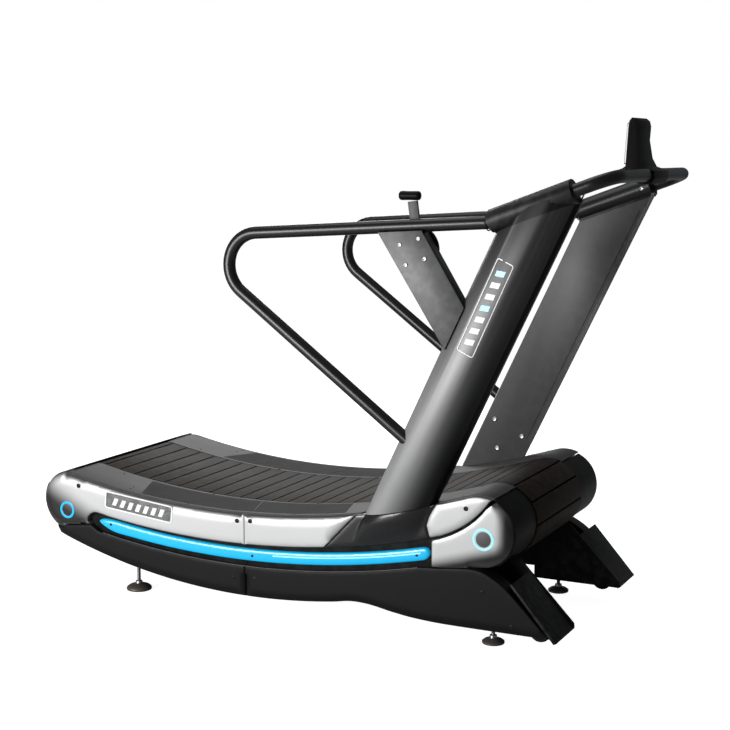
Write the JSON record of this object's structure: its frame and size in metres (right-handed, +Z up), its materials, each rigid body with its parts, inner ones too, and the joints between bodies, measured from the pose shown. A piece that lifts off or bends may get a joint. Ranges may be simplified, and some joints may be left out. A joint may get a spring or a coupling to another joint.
{
  "type": "curved manual treadmill",
  "caption": "Motorless curved treadmill: slat belt on a concave deck with side covers, leaning uprights, looped side handrails, a front bar with console and a resistance lever.",
  "frame": {"origin": "middle of the machine's footprint box, on the floor", "axes": "+X forward, towards the console; +Y to the runner's left; +Z up"},
  "size_m": [1.9708, 0.868, 1.5486],
  "materials": {
    "black": "satin black powder coat",
    "bracket": "satin grey",
    "charcoal": "satin charcoal",
    "console": "satin black",
    "cyan": "gloss cyan",
    "fender": "fine-textured grey",
    "frame": "matt black powder coat",
    "knob": "satin black",
    "post": "satin metallic grey paint",
    "rubber": "matt black",
    "screen": "gloss dark window",
    "silver": "satin metallic silver paint",
    "slat": "grained dark brown",
    "steel": "plain machined steel",
    "upright": "satin metallic grey paint"
  },
  "bodies": {
    "machine": {"console_housing": "console", "console_screen": "screen", "fender_left": "fender", "fender_right": "fender", "frame_rail_left": "frame", "frame_rail_right": "frame", "front_bearing_left": "steel", "front_bearing_right": "steel", "front_cross_member": "frame", "front_edge_band_left": "console", "front_edge_band_right": "console", "front_end_cover_left": "silver", "front_end_cover_right": "silver", "front_leaf_cover_left": "silver", "front_leaf_cover_right": "silver", "guide_roller_rail_left": "steel", "guide_roller_rail_right": "steel", "handlebar": "black", "handrail_left": "black", "handrail_right": "black", "lever_bracket": "bracket", "lever_housing": "knob", "light_strip_left": "cyan", "light_strip_right": "cyan", "lower_front_cover_left": "charcoal", "lower_front_cover_right": "charcoal", "lower_rear_cover_left": "charcoal", "lower_rear_cover_right": "charcoal", "mid_side_cover_left": "silver", "mid_side_cover_right": "silver", "rear_bearing_left": "steel", "rear_bearing_right": "steel", "rear_cross_cover": "console", "rear_cross_member": "frame", "rear_side_cover_left": "silver", "rear_side_cover_right": "silver", "upright_post_left": "post", "upright_post_right": "post", "upright_shell_left": "upright", "upright_shell_right": "upright", "upright_shroud_left": "charcoal", "upright_shroud_right": "charcoal"},
    "belt_top": {"belt_top_run": "slat"},
    "belt_front": {"belt_front_wrap": "slat"},
    "belt_bottom": {"belt_bottom_run": "slat"},
    "belt_rear": {"belt_rear_wrap": "slat"},
    "front_drum": {"front_pulley_shaft": "steel", "brake_flywheel": "steel"},
    "rear_drum": {"rear_pulley_shaft": "steel"},
    "lever": {"resistance_lever": "bracket", "lever_knob": "knob"},
    "brake_yoke": {"magnet_yoke": "steel"},
    "right_wheel": {"transport_wheel_right": "rubber"},
    "left_wheel": {"transport_wheel_left": "rubber"},
    "front_right_foot": {"front_leveling_foot_right": "steel"},
    "front_left_foot": {"front_leveling_foot_left": "steel"},
    "rear_right_foot": {"rear_leveling_foot_right": "steel"},
    "rear_left_foot": {"rear_leveling_foot_left": "steel"},
    "start_key": {"start_button": "silver"},
    "stop_key": {"stop_button": "silver"}
  },
  "joints": [
    {"name": "belt_travel", "type": "hinge", "parent": "machine", "child": "belt_top", "pos_m": [-0.29009, 0, 3.031], "axis": [0, 1, 0], "range_deg": [-0.63, 0.63]},
    {"name": "belt_front_turn", "type": "hinge", "parent": "machine", "child": "belt_front", "pos_m": [0.58291, 0, 0.35584], "axis": [0, 1, 0], "range_deg": [-18.7, 18.7]},
    {"name": "belt_bottom_travel", "type": "hinge", "parent": "machine", "child": "belt_bottom", "pos_m": [-0.23825, 0, 3.84656], "axis": [0, 1, 0], "range_deg": [-0.48, 0.48]},
    {"name": "belt_rear_turn", "type": "hinge", "parent": "machine", "child": "belt_rear", "pos_m": [-0.88509, 0, 0.30007], "axis": [0, 1, 0], "range_deg": [-23.6, 23.6]},
    {"name": "front_drum_spin", "type": "hinge", "parent": "machine", "child": "front_drum", "pos_m": [0.58291, 0, 0.35584], "axis": [0, 1, 0], "continuous": true},
    {"name": "rear_drum_spin", "type": "hinge", "parent": "machine", "child": "rear_drum", "pos_m": [-0.88509, 0, 0.30007], "axis": [0, 1, 0], "continuous": true},
    {"name": "lever_pivot", "type": "hinge", "parent": "machine", "child": "lever", "pos_m": [0.36791, -0.352, 1.17], "axis": [0, 1, 0], "range_deg": [-20, 36]},
    {"name": "yoke_pivot", "type": "hinge", "parent": "machine", "child": "brake_yoke", "pos_m": [0.50177, -0.302, 0.37758], "axis": [0, 1, 0], "range_deg": [-4.4, 2.5]},
    {"name": "right_wheel_spin", "type": "hinge", "parent": "machine", "child": "right_wheel", "pos_m": [0.74291, -0.3, 0.061], "axis": [0, 1, 0], "continuous": true},
    {"name": "left_wheel_spin", "type": "hinge", "parent": "machine", "child": "left_wheel", "pos_m": [0.74291, 0.3, 0.061], "axis": [0, 1, 0], "continuous": true},
    {"name": "front_right_foot_screw", "type": "slide", "parent": "machine", "child": "front_right_foot", "axis": [0, 0, 1], "range_m": [-0.012, 0.01]},
    {"name": "front_left_foot_screw", "type": "slide", "parent": "machine", "child": "front_left_foot", "axis": [0, 0, 1], "range_m": [-0.012, 0.01]},
    {"name": "rear_right_foot_screw", "type": "slide", "parent": "machine", "child": "rear_right_foot", "axis": [0, 0, 1], "range_m": [-0.012, 0.01]},
    {"name": "rear_left_foot_screw", "type": "slide", "parent": "machine", "child": "rear_left_foot", "axis": [0, 0, 1], "range_m": [-0.012, 0.01]},
    {"name": "start_key_press", "type": "slide", "parent": "machine", "child": "start_key", "axis": [0.3363, 0, -0.9417], "range_m": [0, 0.002], "stiffness_N_per_m": 500, "springref_m": -0.001},
    {"name": "stop_key_press", "type": "slide", "parent": "machine", "child": "stop_key", "axis": [0.3363, 0, -0.9417], "range_m": [0, 0.002], "stiffness_N_per_m": 500, "springref_m": -0.001}
  ],
  "couplings": [
    {"joint": "belt_front_turn", "follows": "belt_travel", "ratio": -29.587},
    {"joint": "belt_bottom_travel", "follows": "belt_travel", "ratio": -0.74008},
    {"joint": "belt_rear_turn", "follows": "belt_travel", "ratio": -37.288},
    {"joint": "front_drum_spin", "follows": "belt_travel", "ratio": -29.587},
    {"joint": "rear_drum_spin", "follows": "belt_travel", "ratio": -37.288},
    {"joint": "yoke_pivot", "follows": "lever_pivot", "ratio": -0.12}
  ]
}
